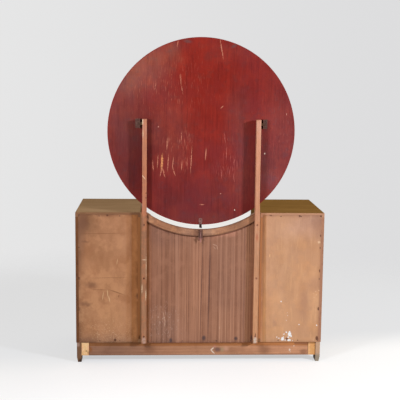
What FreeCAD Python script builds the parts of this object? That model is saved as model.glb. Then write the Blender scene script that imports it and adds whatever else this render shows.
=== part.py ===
import FreeCAD, Part
import os
import re
import Sketcher

# Dressing table: two drawer pedestals on a low base, an open centre, and a large round mirror
# that tilts on two posts behind the case. Millimetres, +Z up, the user sits at -Y.
# The origin is on the floor, in the middle of the whole object's box. Left is -X.

# Driving sizes
SIZES = {
    # Case
    "case_width": 1200,
    "case_depth": 470,
    "case_height": 740,
    "centre_width": 580,
    "side_thick": 20,
    "top_thick": 22,
    "bottom_thick": 18,
    # Base under the case
    "base_height": 98,
    "base_lift": 32,
    "foot_thick": 22,
    "foot_inset": 3,
    "foot_length": 62,
    "foot_corner": 14,
    "foot_wear_width": 5,
    "foot_wear_height": 24,
    "base_rail_thick": 20,
    "base_rail_inset": 4,
    "toe_inset": 45,
    "end_block_width": 36,
    # Backs of the case
    "back_thick": 6,
    "back_side_lip": 14,
    "back_top_lip": 10,
    "centre_panel_thick": 6,
    "stile_width": 50,
    "stile_thick": 20,
    # Mirror posts
    "post_width": 24,
    "post_head_width": 21,
    "post_taper": 60,
    "post_depth": 34,
    "post_inset": 7,
    "post_lift": 4,
    "post_screw_rise": 39,
    "post_screw_drop": 53,
    "post_screw_mid_drop": 314,
    # Round mirror
    "mirror_diameter": 892,
    "mirror_rise": 387,
    "mirror_gap": 11,
    "board_thick": 14,
    "glass_thick": 5,
    "glass_edge": 3,
    "bevel_width": 22,
    "rim_wall": 3,
    "rim_lip": 4,
    "rim_lip_thick": 1.5,
    # Pivot of the mirror
    "pivot_rise": 40,
    "pivot_radius": 3,
    "pivot_depth": 18,
    "pivot_head_radius": 6.5,
    "pivot_head_thick": 3.5,
    "bush_radius": 7,
    "bush_thick": 11,
    "bracket_width": 23,
    "bracket_height": 44,
    "bracket_tail": 11,
    "plate_thick": 2.5,
    # Arc rail and catch
    "arc_gap": 19,
    "arc_width": 34.5,
    "arc_thick": 8,
    "catch_width": 20,
    "catch_height": 48,
    "catch_margin": 2,
    "loop_width": 11,
    "loop_depth": 9,
    "loop_height": 6,
    "bolt_radius": 2.5,
    "bolt_length": 60,
    "bolt_knob_radius": 3,
    "bolt_knob_end": 13,
    "bolt_standoff": 1.5,
    "keeper_width": 18,
    "keeper_round": 7,
    "keeper_height": 42,
    "keeper_neck_width": 12,
    "keeper_neck_height": 20,
    "keeper_shoulder": 4,
    "keeper_lift": 9,
    "keeper_hole_radius": 4,
    # Centre shelf
    "shelf_height": 520,
    "shelf_thick": 20,
    "shelf_setback": 30,
    "shelf_sweep": 60,
    "cleat_size": 20,
    # Drawers
    "front_thick": 20,
    "drawer_gap": 2,
    "drawer_rail_thick": 16,
    "drawer_rail_depth": 60,
    "runner_width": 24,
    "box_thick": 12,
    "box_height": 150,
    "box_length": 390,
    "box_back_drop": 10,
    "box_play": 1,
    "drawer_bottom_thick": 5,
    "groove_depth": 6,
    "groove_rise": 10,
    # Turned knobs
    "knob_reach": 28,
    "knob_radius": 16,
    "knob_neck_radius": 6,
    "knob_rose_radius": 12,
    "knob_rose_thick": 3,
    "knob_head_thick": 14,
    "knob_round": 5,
    # Fasteners and clearances
    "nail_head_radius": 2.5,
    "nail_head_thick": 0.8,
    "nail_radius": 1.1,
    "nail_length": 20,
    "nail_edge": 8,
    "wood_screw_head_radius": 4.5,
    "wood_screw_head_depth": 2.8,
    "wood_screw_stand": 0.4,
    "wood_screw_radius": 2.2,
    "wood_screw_length": 48,
    "small_screw_head_radius": 2.2,
    "small_screw_head_thick": 1.4,
    "small_screw_radius": 1.2,
    "small_screw_length": 9,
    "screw_slot_width": 0.9,
    "screw_slot_depth": 0.8,
    "screw_hole_play": 0.2,
    "running_gap": 0.3,
    "pivot_play": 0.05,
}

# Places worked out from the sizes
PLACES = {
    # Planes of the case
    "case_back": "(case_depth + knob_reach - post_depth - wood_screw_stand) / 2",
    "case_front": "case_back - case_depth",
    "half_width": "case_width / 2",
    "side_face": "half_width - side_thick",
    "centre_half": "centre_width / 2",
    "bay_face": "centre_half + side_thick",
    "bay_middle": "(bay_face + side_face) / 2",
    "floor_top": "base_height + bottom_thick",
    "top_under": "case_height - top_thick",
    "back_panel_in": "centre_half + side_thick / 2",
    "back_panel_out": "half_width - back_side_lip",
    "back_panel_top": "case_height - back_top_lip",
    "back_panel_front": "case_back - back_thick",
    # Base
    "foot_out": "half_width - foot_inset",
    "foot_in": "foot_out - foot_thick",
    "back_rail_end": "foot_in - end_block_width",
    "back_rail_back": "case_back - base_rail_inset",
    # Posts and pivot
    "mirror_height": "case_height + mirror_rise",
    "post_out": "centre_half - post_inset",
    "post_in": "post_out - post_width",
    "post_middle": "post_out - post_width / 2",
    "post_foot": "base_height + post_lift",
    "head_out": "post_in + post_head_width",
    "post_back": "case_back + post_depth",
    "pivot_back": "case_back + post_depth / 2",
    "pivot_height": "mirror_height + pivot_rise",
    "swing_reach": "post_depth / 2 + mirror_gap - running_gap",
    "post_top": "pivot_height + sqrt(swing_reach * swing_reach - post_depth * post_depth / 4)",
    "bracket_in": "head_out + bush_thick",
    "bracket_out": "bracket_in + plate_thick",
    "bracket_middle": "post_top - bracket_height / 2",
    # Mirror, from its back to its front
    "mirror_radius": "mirror_diameter / 2",
    "board_radius": "mirror_radius - rim_wall",
    "board_back": "case_back - mirror_gap",
    "board_front": "board_back - board_thick",
    "plate_back": "board_back + plate_thick",
    # Arc rail and catch
    "arc_radius": "mirror_radius + arc_gap",
    "arc_outer": "arc_radius + arc_width",
    "arc_top": "mirror_height - arc_radius",
    "panel_back": "case_back + centre_panel_thick",
    "rail_back": "panel_back + arc_thick",
    "catch_top": "arc_top - catch_margin",
    "catch_low": "catch_top - catch_height",
    "catch_face": "rail_back + plate_thick",
    "bolt_back": "catch_face + bolt_standoff + bolt_radius",
    "loop_low": "catch_low + catch_margin",
    "loop_high": "catch_top - catch_margin - loop_height",
    "bolt_knob_height": "loop_low + loop_height + bolt_knob_radius + running_gap",
    "keeper_low": "arc_top + keeper_lift",
    # Centre shelf
    "shelf_front": "case_front + shelf_setback",
    "shelf_under": "shelf_height - shelf_thick",
    "sweep_radius": "(centre_half * centre_half + shelf_sweep * shelf_sweep) / (2 * shelf_sweep)",
    # Drawers
    "front_back": "case_front + front_thick",
    "rail_front": "front_back + running_gap",
    "rail_rear": "rail_front + drawer_rail_depth",
    "bay_height": "(top_under - floor_top) / 3",
    "box_rear": "front_back + box_length",
    "box_in": "bay_face + box_play",
    "box_out": "side_face - box_play",
}

DRAWER_LEVELS = ("bottom", "middle", "top")

doc = FreeCAD.newDocument("DressingTable")
pieces = []


def full(expression):
    """Write every size and place in an expression with the name of its sheet."""
    def with_sheet(match):
        word = match.group(0)
        if word in SIZES:
            return "Sizes." + word
        if word in PLACES:
            return "Places." + word
        return word
    return re.sub(r"[a-z][a-z_]*", with_sheet, expression)


def make_sheets():
    """Fill one sheet with the driving sizes and one with the places that follow from them."""
    sizes = doc.addObject("Spreadsheet::Sheet", "Sizes")
    for row, (alias, value) in enumerate(SIZES.items(), start=1):
        sizes.set(f"A{row}", alias)
        sizes.set(f"B{row}", str(value))
        sizes.setAlias(f"B{row}", alias)
    doc.recompute()
    places = doc.addObject("Spreadsheet::Sheet", "Places")
    for row, (alias, formula) in enumerate(PLACES.items(), start=1):
        places.set(f"A{row}", alias)
        places.setAlias(f"B{row}", alias)
        places.set(f"B{row}", "=" + full(formula).replace("Places.", ""))
    doc.recompute()
    return sizes


sheet = make_sheets()


def number(expression):
    """The value of an expression at the current sizes."""
    return float(sheet.evalExpression(full(expression)))


def keep(label, piece):
    """Give a finished sub-part its label and put it on the list to be written."""
    piece.Label = label
    pieces.append(piece)
    return piece


def bind_place(piece, x, y, z):
    """Bind a piece's position to three expressions."""
    for axis, expression in zip("xyz", (x, y, z)):
        piece.setExpression(f"Placement.Base.{axis}", full(expression))


# Rotations that turn a local +Z axis to a direction
FACING = {
    "+z": FreeCAD.Rotation(),
    "+x": FreeCAD.Rotation(FreeCAD.Vector(0, 1, 0), 90),
    "-x": FreeCAD.Rotation(FreeCAD.Vector(0, 1, 0), -90),
    "+y": FreeCAD.Rotation(FreeCAD.Vector(1, 0, 0), -90),
    "-y": FreeCAD.Rotation(FreeCAD.Vector(1, 0, 0), 90),
}


def board(name, x, y, z):
    """A straight board between two planes on each axis."""
    piece = doc.addObject("Part::Box", name)
    for size, (low, high) in zip(("Length", "Width", "Height"), (x, y, z)):
        piece.setExpression(size, full(f"({high}) - ({low})"))
    bind_place(piece, x[0], y[0], z[0])
    return piece


def round_bar(name, start, radius, length, facing):
    """A cylinder that starts at a point and runs in a direction."""
    piece = doc.addObject("Part::Cylinder", name)
    piece.setExpression("Radius", full(radius))
    piece.setExpression("Height", full(length))
    piece.Placement = FreeCAD.Placement(FreeCAD.Vector(), FACING[facing])
    bind_place(piece, *start)
    return piece


def boolean(kind, name, base, tool):
    """Join two shapes with a Part boolean."""
    piece = doc.addObject("Part::" + kind, name)
    piece.Base = base
    piece.Tool = tool
    return piece


def cut_by(base, *tools):
    """Take several tools away from a shape, one after the other."""
    for count, tool in enumerate(tools):
        base = boolean("Cut", f"{base.Name}_cut_{count}", base, tool)
    return base


def group(name, members):
    """Several separate solids in one sub-part."""
    piece = doc.addObject("Part::Compound", name)
    piece.Links = members
    return piece


def mirrored(name, source):
    """The same piece on the other side of the table."""
    piece = doc.addObject("Part::Mirroring", name)
    piece.Source = source
    piece.Normal = FreeCAD.Vector(1, 0, 0)
    return piece


def keep_pair(name, source):
    """Keep a piece made for the right side, and its mirror image for the left side."""
    keep("right_" + name, source)
    keep("left_" + name, mirrored("left_" + name, source))


def origin_plane(body, role):
    """One of a body's own origin planes."""
    return next(item for item in body.Origin.OriginFeatures if item.Role == role)


def outline_sketch(body, role, points):
    """A closed outline of straight lines on an origin plane, each corner bound to two expressions."""
    sketch = body.newObject("Sketcher::SketchObject", body.Name + "_outline")
    sketch.AttachmentSupport = (origin_plane(body, role), "")
    sketch.MapMode = "FlatFace"
    corners = [FreeCAD.Vector(number(across), number(up), 0) for across, up in points]
    for corner, following in zip(corners, corners[1:] + corners[:1]):
        sketch.addGeometry(Part.LineSegment(corner, following))
    for line in range(len(points)):
        sketch.addConstraint(Sketcher.Constraint("Coincident", line, 2, (line + 1) % len(points), 1))
    for line, (across, up) in enumerate(points):
        for kind, axis, expression in (("DistanceX", -2, across), ("DistanceY", -1, up)):
            if expression == "0":
                sketch.addConstraint(Sketcher.Constraint("PointOnObject", line, 1, axis))
                continue
            distance = Sketcher.Constraint(kind, -1, 1, line, 1, number(expression))
            place = sketch.addConstraint(distance)
            sketch.setExpression(f"Constraints[{place}]", full(expression))
    return sketch


def turned(name, outline):
    """A piece turned about its local Z axis, from an outline of (radius, height) corners."""
    body = doc.addObject("PartDesign::Body", name)
    sketch = outline_sketch(body, "XZ_Plane", outline)
    turn = body.newObject("PartDesign::Revolution", name + "_turn")
    turn.Profile = sketch
    turn.ReferenceAxis = (sketch, ["V_Axis"])
    turn.Angle = 360
    sketch.Visibility = False
    return body


def padded(name, role, outline, length):
    """A piece cut from sheet or board: an outline on an origin plane, padded to both sides of it."""
    body = doc.addObject("PartDesign::Body", name)
    sketch = outline_sketch(body, role, outline)
    pad = body.newObject("PartDesign::Pad", name + "_pad")
    pad.Profile = sketch
    pad.Midplane = True
    pad.setExpression("Length", full(length))
    sketch.Visibility = False
    return body


def edge_names(shape, wanted):
    """The names of the edges whose middle point passes a test."""
    names = []
    for count, edge in enumerate(shape.Edges, start=1):
        if wanted(edge.valueAt((edge.FirstParameter + edge.LastParameter) / 2)):
            names.append(f"Edge{count}")
    return names


def close_to(value, expression):
    """True where a coordinate is at the place that an expression gives."""
    return abs(value - number(expression)) < 0.001


def round_edges(body, radius, wanted):
    """Round the edges of a body that pass a test."""
    doc.recompute()
    base = body.Tip
    fillet = body.newObject("PartDesign::Fillet", body.Name + "_round")
    fillet.Base = (base, edge_names(base.Shape, wanted))
    fillet.setExpression("Radius", full(radius))
    return body


def fasteners(label, master, spots):
    """Copies of one fastener, each with its head at a point and its head facing a direction."""
    doc.recompute()
    copies = []
    for x, y, z, facing in spots:
        copy = master.Shape.copy()
        copy.Placement = FreeCAD.Placement(FreeCAD.Vector(x, y, z), FACING[facing])
        copies.append(copy)
    piece = doc.addObject("Part::Feature", label)
    piece.Shape = Part.makeCompound(copies)
    return keep(label, piece)


def make_base():
    """Two foot boards, a recessed front rail, and a back rail with a block at each end."""
    elevation = [
        ("case_front", "0"),
        ("case_front + foot_length", "0"),
        ("case_front + foot_length", "base_lift"),
        ("case_back - foot_length", "base_lift"),
        ("case_back - foot_length", "0"),
        ("case_back", "0"),
        ("case_back", "base_height"),
        ("case_front", "base_height"),
    ]
    foot = padded("foot_board", "YZ_Plane", elevation, "foot_thick")
    round_edges(foot, "foot_corner",
                lambda middle: close_to(middle.z, "base_lift") and close_to(middle.x, "0"))
    bind_place(foot, "(foot_in + foot_out) / 2", "0", "0")
    worn = padded("foot_wear", "XZ_Plane", [
        ("foot_out - foot_wear_width", "0"),
        ("foot_out", "0"),
        ("foot_out", "foot_wear_height"),
    ], "2 * case_depth")
    keep_pair("foot_board", cut_by(foot, worn))

    heights = ("base_lift", "base_height")
    keep("base_front_rail", board(
        "base_front_rail",
        ("-foot_in", "foot_in"),
        ("case_front + toe_inset", "case_front + toe_inset + base_rail_thick"),
        heights))
    rear = ("back_rail_back - base_rail_thick", "back_rail_back")
    keep("base_back_rail", board("base_back_rail", ("-back_rail_end", "back_rail_end"), rear, heights))
    block = board("right_end_block", ("back_rail_end", "foot_in"), rear, heights)
    keep("rail_end_blocks", group("rail_end_blocks", [block, mirrored("left_end_block", block)]))


def make_case():
    """Bottom board, sides, tops and the thin backs that sit in their rebates."""
    depth = ("case_front", "case_back")
    back = board("right_back", ("back_panel_in", "back_panel_out"),
                 ("back_panel_front", "case_back"), ("base_height", "back_panel_top"))
    keep_pair("back_panel", back)
    bottom = board("bottom", ("-side_face", "side_face"), depth, ("base_height", "floor_top"))
    keep("bottom_board", cut_by(bottom, back, mirrored("left_back_tool", back)))
    outer = board("right_outer", ("side_face", "half_width"), depth, ("base_height", "top_under"))
    keep_pair("outer_side", cut_by(outer, back))
    inner = board("right_inner", ("centre_half", "bay_face"), depth, ("floor_top", "top_under"))
    keep_pair("inner_side", cut_by(inner, back))
    top = board("right_top_blank", ("centre_half", "half_width"), depth, ("top_under", "case_height"))
    keep_pair("top", cut_by(top, back))


def make_centre():
    """Centre back with its hollow arc, the stiles that carry it, the arc rail and the shelf."""
    axis = ("0", "case_front", "mirror_height")
    arc = round_bar("arc_cut", axis, "arc_radius", "2 * case_depth", "+y")
    stile = board("stile", ("centre_half - stile_width", "centre_half"),
                  ("case_back - stile_thick", "case_back"), ("floor_top", "case_height"))
    stile = cut_by(stile, arc)
    keep("back_stiles", group("back_stiles", [stile, mirrored("left_stile", stile)]))
    panel = board("centre_panel", ("-post_in", "post_in"), ("case_back", "panel_back"),
                  ("base_height", "case_height"))
    keep("centre_back_panel", cut_by(panel, arc))

    ring = round_bar("arc_ring", ("0", "panel_back", "mirror_height"), "arc_outer", "arc_thick", "+y")
    between_posts = board("arc_reach", ("-post_in", "post_in"), ("panel_back", "rail_back"),
                          ("mirror_height - arc_outer", "case_height"))
    keep("arc_rail", boolean("Common", "arc_rail", cut_by(ring, arc), between_posts))

    shelf = board("shelf", ("-centre_half", "centre_half"), ("shelf_front", "case_back - stile_thick"),
                  ("shelf_under", "shelf_height"))
    hollow = round_bar("shelf_hollow", ("0", "shelf_front + shelf_sweep - sweep_radius", "0"),
                       "sweep_radius", "case_height", "+z")
    keep("centre_shelf", cut_by(shelf, hollow))
    cleat = board("right_cleat", ("centre_half - cleat_size", "centre_half"),
                  ("shelf_front + cleat_size", "case_back - stile_thick"),
                  ("shelf_under - cleat_size", "shelf_under"))
    keep("shelf_cleats", group("shelf_cleats", [cleat, mirrored("left_cleat", cleat)]))


def make_posts():
    """The two mirror posts: narrower above the case, each with a bored hole for its pivot bolt."""
    post = padded("right_post", "XZ_Plane", [
        ("post_in", "post_foot"),
        ("post_out", "post_foot"),
        ("post_out", "case_height"),
        ("head_out", "case_height + post_taper"),
        ("head_out", "post_top"),
        ("post_in", "post_top"),
    ], "post_depth")
    bind_place(post, "0", "pivot_back", "0")
    hole = round_bar("pivot_hole", ("head_out - pivot_depth", "pivot_back", "pivot_height"),
                     "pivot_radius + pivot_play", "pivot_depth", "+x")
    keep_pair("mirror_post", cut_by(post, hole))


def make_pivots():
    """Pivot bolts, the bushes that space the brackets off the posts, and the angle brackets."""
    head_face = number("bracket_out + pivot_play + pivot_head_thick")
    bolt = turned("pivot_bolt", [
        ("0", "0"),
        ("pivot_head_radius", "0"),
        ("pivot_head_radius", "-pivot_head_thick"),
        ("pivot_radius", "-pivot_head_thick"),
        ("pivot_radius", "-(bracket_out + pivot_play + pivot_head_thick - head_out + pivot_depth)"),
        ("0", "-(bracket_out + pivot_play + pivot_head_thick - head_out + pivot_depth)"),
    ])
    back = number("pivot_back")
    height = number("pivot_height")
    fasteners("pivot_bolts", bolt, [(head_face, back, height, "+x"), (-head_face, back, height, "-x")])

    ring = round_bar("bush_ring", ("head_out", "pivot_back", "pivot_height"),
                     "bush_radius", "bush_thick - pivot_play", "+x")
    bore = round_bar("bush_bore", ("head_out", "pivot_back", "pivot_height"),
                     "pivot_radius + pivot_play", "bush_thick", "+x")
    bush = cut_by(ring, bore)
    keep("pivot_bushes", group("pivot_bushes", [bush, mirrored("left_bush", bush)]))

    angle = padded("bracket_angle", "XY_Plane", [
        ("bracket_in", "board_back"),
        ("bracket_in + bracket_width", "board_back"),
        ("bracket_in + bracket_width", "plate_back"),
        ("bracket_out", "plate_back"),
        ("bracket_out", "pivot_back + bracket_tail"),
        ("bracket_in", "pivot_back + bracket_tail"),
    ], "bracket_height")
    bind_place(angle, "0", "0", "bracket_middle")
    pivot = round_bar("bracket_bore", ("bracket_in - plate_thick", "pivot_back", "pivot_height"),
                      "pivot_radius + pivot_play", "3 * plate_thick", "+x")
    holes = []
    for count, screw_height in enumerate(BRACKET_SCREW_HEIGHTS):
        holes.append(round_bar(f"bracket_hole_{count}", (BRACKET_SCREW_ACROSS, "board_back", screw_height),
                               "small_screw_radius + screw_hole_play", "plate_thick", "+y"))
    keep_pair("tilt_bracket", cut_by(angle, pivot, *holes))


# Where the small screws sit
BRACKET_SCREW_ACROSS = "(bracket_out + bracket_in + bracket_width) / 2"
BRACKET_SCREW_HEIGHTS = ("bracket_middle - bracket_height / 3", "bracket_middle + bracket_height / 3")
KEEPER_SCREW_HEIGHTS = ("keeper_low + keeper_height / 2", "keeper_low + keeper_height * 5 / 6")
CATCH_SCREW_ACROSS = ("-(catch_width + loop_width) / 4", "(catch_width + loop_width) / 4")
CATCH_SCREW_HEIGHTS = ("arc_top - arc_width * 3 / 4", "arc_top - arc_width / 2")


def make_mirror():
    """Round backboard, bevelled glass, and the thin hoop that holds the two together."""
    keep("mirror_backboard", round_bar(
        "backboard", ("0", "board_back", "mirror_height"), "board_radius", "board_thick", "-y"))
    glass = turned("glass", [
        ("0", "0"),
        ("board_radius", "0"),
        ("board_radius", "glass_edge"),
        ("board_radius - rim_lip", "glass_edge"),
        ("board_radius - rim_lip - bevel_width", "glass_thick"),
        ("0", "glass_thick"),
    ])
    glass.Placement = FreeCAD.Placement(FreeCAD.Vector(), FACING["-y"])
    bind_place(glass, "0", "board_front", "mirror_height")
    keep("mirror_glass", glass)
    hoop = turned("hoop", [
        ("board_radius", "0"),
        ("mirror_radius", "0"),
        ("mirror_radius", "board_thick + glass_edge + rim_lip_thick"),
        ("board_radius - rim_lip", "board_thick + glass_edge + rim_lip_thick"),
        ("board_radius - rim_lip", "board_thick + glass_edge"),
        ("board_radius", "board_thick + glass_edge"),
    ])
    hoop.Placement = FreeCAD.Placement(FreeCAD.Vector(), FACING["-y"])
    bind_place(hoop, "0", "board_back", "mirror_height")
    keep("mirror_rim", hoop)


def make_catch():
    """Barrel bolt on the arc rail: a plate with two loops and the bolt that slides in them."""
    plate = board("catch_plate", ("-catch_width / 2", "catch_width / 2"), ("rail_back", "catch_face"),
                  ("catch_low", "catch_top"))
    for count, low in enumerate(("loop_low", "loop_high")):
        loop = board(f"catch_loop_{count}", ("-loop_width / 2", "loop_width / 2"),
                     ("catch_face", "catch_face + loop_depth"), (low, low + " + loop_height"))
        plate = boolean("Fuse", f"catch_with_loop_{count}", plate, loop)
    bore = round_bar("catch_bore", ("0", "bolt_back", "catch_low"),
                     "bolt_radius + pivot_play", "catch_height", "+z")
    holes = []
    for across in CATCH_SCREW_ACROSS:
        for height in CATCH_SCREW_HEIGHTS:
            holes.append(round_bar(f"catch_hole_{len(holes)}", (across, "rail_back", height),
                                   "small_screw_radius + screw_hole_play", "plate_thick", "+y"))
    keep("bolt_plate", cut_by(plate, bore, *holes))

    shaft = round_bar("bolt_shaft", ("0", "bolt_back", "catch_top - bolt_length"),
                      "bolt_radius", "bolt_length", "+z")
    knob = round_bar("bolt_knob", ("0", "bolt_back", "bolt_knob_height"),
                     "bolt_knob_radius", "rail_back + bolt_knob_end - bolt_back", "+y")
    keep("catch_bolt", boolean("Fuse", "catch_bolt", shaft, knob))


def make_keeper():
    """The keeper on the mirror: a leaf with a narrow neck, bent back to an eye over the bolt."""
    neck = "keeper_low + keeper_neck_height"
    right_side = [
        ("keeper_neck_width / 2", "keeper_low"),
        ("keeper_neck_width / 2", neck),
        ("keeper_width / 2", neck + " + keeper_shoulder"),
        ("keeper_width / 2", "keeper_low + keeper_height"),
    ]
    left_side = [("-" + across, up) for across, up in reversed(right_side)]
    leaf = padded("keeper_leaf", "XZ_Plane", right_side + left_side, "plate_thick")
    round_edges(leaf, "keeper_round", lambda middle: close_to(middle.z, "keeper_low + keeper_height")
                and close_to(abs(middle.x), "keeper_width / 2"))
    bind_place(leaf, "0", "(board_back + plate_back) / 2", "0")
    tongue = board("keeper_tongue", ("-keeper_neck_width / 2", "keeper_neck_width / 2"),
                   ("board_back", "bolt_back"), ("keeper_low", "keeper_low + plate_thick"))
    ring = round_bar("keeper_ring", ("0", "bolt_back", "keeper_low"),
                     "keeper_neck_width / 2", "plate_thick", "+z")
    keeper = boolean("Fuse", "keeper_angle", leaf, tongue)
    keeper = boolean("Fuse", "keeper_with_ring", keeper, ring)
    eye = round_bar("keeper_eye", ("0", "bolt_back", "keeper_low"),
                    "keeper_hole_radius", "plate_thick", "+z")
    holes = []
    for count, height in enumerate(KEEPER_SCREW_HEIGHTS):
        holes.append(round_bar(f"keeper_hole_{count}", ("0", "board_back", height),
                               "small_screw_radius + screw_hole_play", "plate_thick", "+y"))
    keep("catch_keeper", cut_by(keeper, eye, *holes))


def make_drawer_bay():
    """Rails between the drawers and the runners that the drawers slide on."""
    bearers = []
    along = ("rail_rear", "back_panel_front")
    for level, name in enumerate(DRAWER_LEVELS):
        bay_low = f"(floor_top + {level} * bay_height)"
        low = bay_low if level == 0 else f"{bay_low} - drawer_rail_thick / 2"
        heights = (low, f"{bay_low} + drawer_rail_thick / 2")
        for side, across in (("inner", ("bay_face", "bay_face + runner_width")),
                             ("outer", ("side_face - runner_width", "side_face"))):
            bearers.append(board(f"{name}_{side}_runner", across, along, heights))
        if level > 0:
            across = ("bay_face", "side_face")
            bearers.append(board(f"{name}_rail", across, ("rail_front", "rail_rear"), heights))
    others = [mirrored("left_" + bearer.Name, bearer) for bearer in bearers]
    keep("drawer_bearers", group("drawer_bearers", bearers + others))


def make_knob(name, x, z):
    """A turned knob with a rose against the drawer front."""
    knob = turned(name, [
        ("0", "0"),
        ("knob_rose_radius", "0"),
        ("knob_rose_radius", "knob_rose_thick"),
        ("knob_neck_radius", "knob_rose_thick"),
        ("knob_neck_radius", "knob_reach - knob_head_thick"),
        ("knob_radius", "knob_reach - knob_head_thick"),
        ("knob_radius", "knob_reach"),
        ("0", "knob_reach"),
    ])
    on_head = ("knob_reach - knob_head_thick", "knob_reach")
    round_edges(knob, "knob_round", lambda middle: any(close_to(middle.z, place) for place in on_head)
                and close_to((middle.x ** 2 + middle.y ** 2) ** 0.5, "knob_radius"))
    knob.Placement = FreeCAD.Placement(FreeCAD.Vector(), FACING["-y"])
    bind_place(knob, x, "case_front", z)
    return knob


def make_drawer(level, name):
    """One drawer of the right pedestal and its mirror image: front, box, bottom and knob."""
    bay_low = f"(floor_top + {level} * bay_height)"
    box_low = f"({bay_low} + drawer_rail_thick / 2 + running_gap)"
    box_high = f"({box_low} + box_height)"
    bottom_low = f"({box_low} + groove_rise)"
    bottom_high = f"({bottom_low} + drawer_bottom_thick)"
    inner_wall = ("box_in", "box_in + box_thick")
    outer_wall = ("box_out - box_thick", "box_out")
    bottom = board(name + "_bottom",
                   ("box_in + box_thick - groove_depth", "box_out - box_thick + groove_depth"),
                   ("front_back - groove_depth", "box_rear"), (bottom_low, bottom_high))
    front = board(name + "_front", ("bay_face + drawer_gap", "side_face - drawer_gap"),
                  ("case_front", "front_back"),
                  (bay_low + " + drawer_gap / 2", bay_low + " + bay_height - drawer_gap / 2"))
    walls = []
    for side, wall in (("inner", inner_wall), ("outer", outer_wall)):
        blank = board(f"{name}_{side}_wall", wall, ("front_back", "box_rear"), (box_low, box_high))
        walls.append(cut_by(blank, bottom))
    rear = board(name + "_rear", (inner_wall[1], outer_wall[0]), ("box_rear - box_thick", "box_rear"),
                 (bottom_high, box_high + " - box_back_drop"))
    keep_pair(f"{name}_drawer_front", cut_by(front, bottom))
    keep_pair(f"{name}_drawer_box", group(name + "_box", walls + [rear]))
    keep_pair(f"{name}_drawer_bottom", bottom)
    knob = make_knob(name + "_knob", "bay_middle", bay_low + " + bay_height / 2")
    keep_pair(f"{name}_drawer_knob", knob)


def spread(low, high, count):
    """Evenly spaced values from one end to the other."""
    return [low + (high - low) * step / (count - 1) for step in range(count)]


def make_nails():
    """Nails round the thin backs and along the foot of the centre back."""
    nail = turned("nail", [
        ("0", "nail_head_thick"),
        ("nail_head_radius", "nail_head_thick"),
        ("nail_head_radius", "0"),
        ("nail_radius", "0"),
        ("nail_radius", "nail_head_thick - nail_length"),
        ("0", "nail_head_thick - nail_length"),
    ])
    edge = number("nail_edge")
    outer = number("(side_face + back_panel_out) / 2")
    inner = number("post_out") + edge
    low = number("(base_height + floor_top) / 2")
    high = number("(top_under + back_panel_top) / 2")
    case_back = number("case_back")
    panel_back = number("panel_back")
    spots = []
    for side in (1, -1):
        for z in spread(low, high, 5):
            spots.append((side * outer, case_back, z, "+y"))
        for x in spread(inner, outer, 4)[1:-1]:
            spots.append((side * x, case_back, low, "+y"))
            spots.append((side * x, case_back, high, "+y"))
    reach = number("post_in") - edge
    for x in spread(-reach, reach, 4):
        spots.append((x, panel_back, low, "+y"))
    fasteners("panel_nails", nail, spots)


def slotted(screw, head_radius, head_top):
    """A screw with a slot for the driver across its head."""
    slot = board(screw.Name + "_slot", (f"-{head_radius}", head_radius),
                 ("-screw_slot_width / 2", "screw_slot_width / 2"),
                 (f"{head_top} - screw_slot_depth", head_top))
    return cut_by(screw, slot)


def make_screws():
    """Countersunk screws of the posts, and the small flat-headed screws of the fittings."""
    wood_screw = turned("wood_screw", [
        ("0", "0"),
        ("wood_screw_head_radius", "0"),
        ("wood_screw_radius", "-wood_screw_head_depth"),
        ("wood_screw_radius", "-wood_screw_length"),
        ("0", "-wood_screw_length"),
    ])
    across = number("post_middle")
    back = number("post_back + wood_screw_stand")
    heights = [number("base_height + post_screw_rise"), number("case_height - post_screw_mid_drop"),
               number("case_height - post_screw_drop")]
    spots = [(side * across, back, z, "+y") for side in (1, -1) for z in heights]
    fasteners("post_screws", slotted(wood_screw, "wood_screw_head_radius", "0"), spots)

    small_screw = turned("small_screw", [
        ("0", "small_screw_head_thick"),
        ("small_screw_head_radius", "small_screw_head_thick"),
        ("small_screw_head_radius", "0"),
        ("small_screw_radius", "0"),
        ("small_screw_radius", "-small_screw_length"),
        ("0", "-small_screw_length"),
    ])
    small_screw = slotted(small_screw, "small_screw_head_radius", "small_screw_head_thick")
    plate_back = number("plate_back")
    spots = [(0, plate_back, number(z), "+y") for z in KEEPER_SCREW_HEIGHTS]
    for side in (1, -1):
        for z in BRACKET_SCREW_HEIGHTS:
            spots.append((side * number(BRACKET_SCREW_ACROSS), plate_back, number(z), "+y"))
    fasteners("mirror_screws", small_screw, spots)
    spots = [(number(x), number("catch_face"), number(z), "+y")
             for x in CATCH_SCREW_ACROSS for z in CATCH_SCREW_HEIGHTS]
    fasteners("bolt_plate_screws", small_screw, spots)


def write_parts():
    """Check every object of the document, then write each sub-part to its own file."""
    doc.recompute()
    for item in doc.Objects:
        if "Invalid" in item.State or "Error" in item.State:
            raise RuntimeError(f"{item.Name} failed: {item.State}")
    for piece in pieces:
        if piece.Shape.isNull() or not piece.Shape.isValid() or not piece.Shape.Solids:
            raise RuntimeError(f"{piece.Label} has no valid solid")
    os.makedirs("parts", exist_ok=True)
    for piece in pieces:
        piece.Shape.exportStep(f"parts/{piece.Label}.step")
        print(f"{piece.Label}: {len(piece.Shape.Solids)} solids, {piece.Shape.Volume / 1000:.1f} cm3")


make_base()
make_case()
make_centre()
make_posts()
make_pivots()
make_mirror()
make_catch()
make_keeper()
make_drawer_bay()
for level_number, level_name in enumerate(DRAWER_LEVELS):
    make_drawer(level_number, level_name)
make_nails()
make_screws()
write_parts()
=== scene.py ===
"""Looks of a dressing table with a round tilting mirror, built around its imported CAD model.

Lengths are in metres in the row frame of the CAD model: front is -Y, left is -X, the floor is z = 0.
Colours are sRGB in 0-255. A mark on a surface is a row of (x, z, half width, half height) in millimetres,
as seen along the depth. A fifth number is its lean in degrees. A passage is a pair of values: there is
nothing of a look at the first and all of it at the second.
"""

import math

import bpy
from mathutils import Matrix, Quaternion, Vector


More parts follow.
